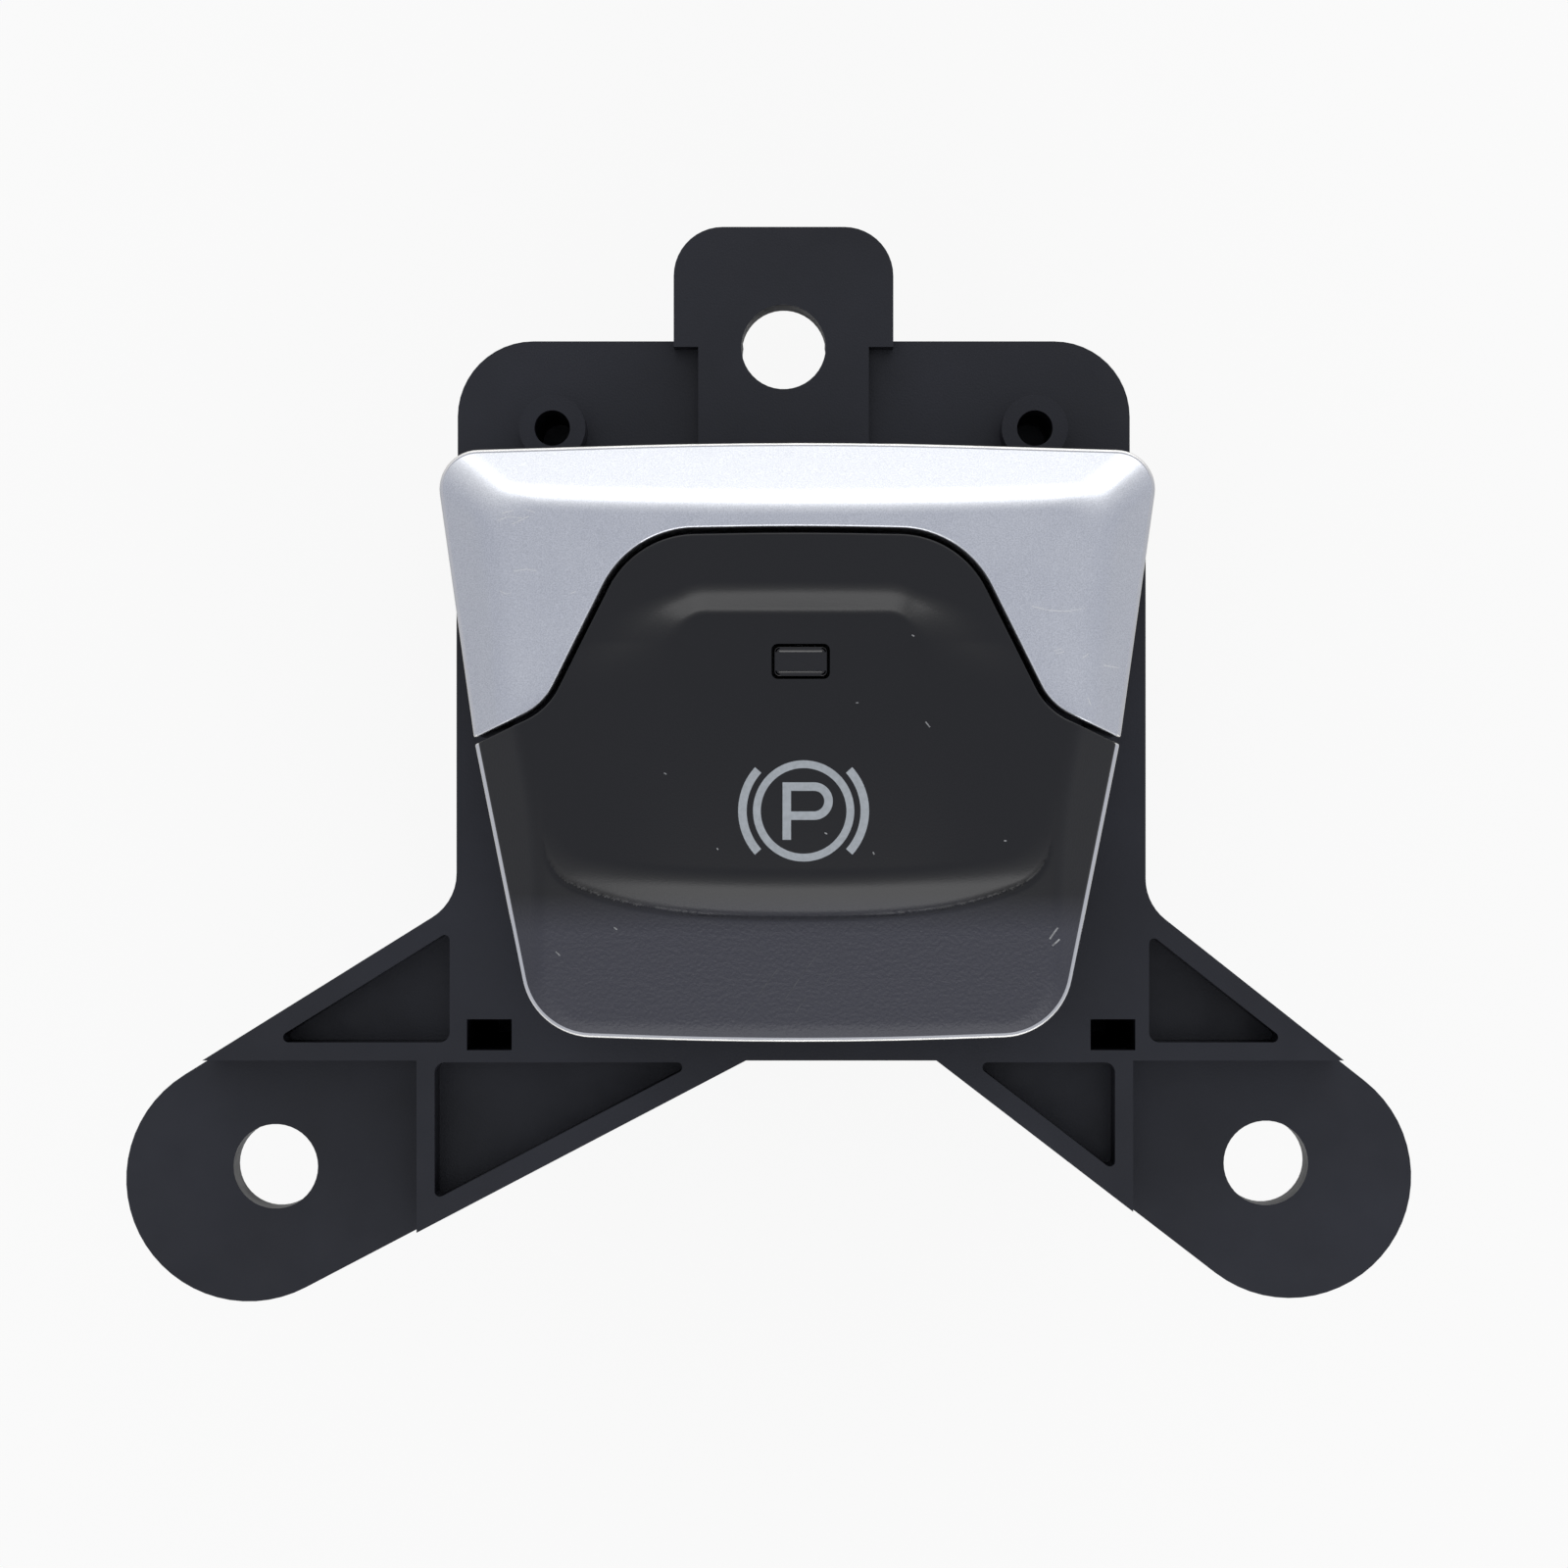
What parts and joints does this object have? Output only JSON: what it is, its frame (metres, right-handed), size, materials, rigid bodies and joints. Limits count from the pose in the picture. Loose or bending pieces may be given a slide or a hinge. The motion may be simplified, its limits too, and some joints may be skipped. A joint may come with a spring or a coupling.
{
  "type": "electric parking brake switch",
  "caption": "Console switch with a black moulded three-ear bracket, silver upper trim and a spring-returned finger paddle that is pulled up or pressed down for the parking brake.",
  "frame": {"origin": "on the plane of the rear cover's flat outer face, in the middle of the connector socket's mouth", "axes": "+Z out of the paddle's face, +Y from the finger lip to the hinge end, +X to the right"},
  "size_m": [0.076, 0.0636, 0.043],
  "materials": {
    "black_housing": "satin",
    "paddle_black": "soft-touch matte",
    "silver_paint": "fine metallic satin",
    "bright_trim": "bright",
    "tinned_pins": "bright",
    "board_green": "satin",
    "zinc_steel": "satin",
    "chip_black": "matte",
    "led_body": "gloss",
    "spring_steel": "bright",
    "clear_plastic": "clear gloss",
    "black_rubber": "matte",
    "smoked_lens": "gloss",
    "white_plastic": "satin"
  },
  "bodies": {
    "base": {"front_carrier": "black_housing", "rear_cover": "black_housing", "connector_pins": "tinned_pins", "circuit_board": "board_green", "board_screws": "zinc_steel", "housing_screws": "zinc_steel", "control_chip": "chip_black", "indicator_led": "led_body", "symbol_leds": "led_body", "pull_spring": "spring_steel", "push_spring": "spring_steel", "hinge_pin": "spring_steel", "indicator_light_guide": "clear_plastic", "symbol_light_guide": "clear_plastic", "push_stop_pads": "black_rubber", "pull_stop_pad": "black_rubber", "silver_cap": "silver_paint", "bezel_rim": "bright_trim", "bezel_frame": "black_housing", "pull_switch_left": "chip_black", "pull_switch_right": "chip_black", "push_switch_left": "chip_black", "push_switch_right": "chip_black"},
    "lever": {"lever_body": "black_housing", "paddle_cover": "paddle_black", "paddle_trim": "bright_trim", "indicator_lens": "smoked_lens", "symbol_diffuser": "white_plastic"},
    "pull_plunger": {"pull_slider": "white_plastic"},
    "push_plunger": {"push_slider": "white_plastic"}
  },
  "joints": [
    {"name": "paddle_hinge", "type": "hinge", "parent": "base", "child": "lever", "pos_m": [0, 0.009, 0.0401], "axis": [-1, 0, 0], "range_deg": [-3, 6], "stiffness_Nm_per_rad": 0.9},
    {"name": "pull_slide", "type": "slide", "parent": "base", "child": "pull_plunger", "axis": [0, 0, 1], "range_m": [-0.00052266, 0.00027133], "deforming": ["pull_spring"]},
    {"name": "push_slide", "type": "slide", "parent": "base", "child": "push_plunger", "axis": [0, 0, 1], "range_m": [-0.00041, 0.00081], "deforming": ["push_spring"]}
  ],
  "couplings": [
    {"joint": "pull_slide", "follows": "paddle_hinge", "m_per_rad": -0.0048},
    {"joint": "push_slide", "follows": "paddle_hinge", "m_per_rad": 0.0075}
  ]
}
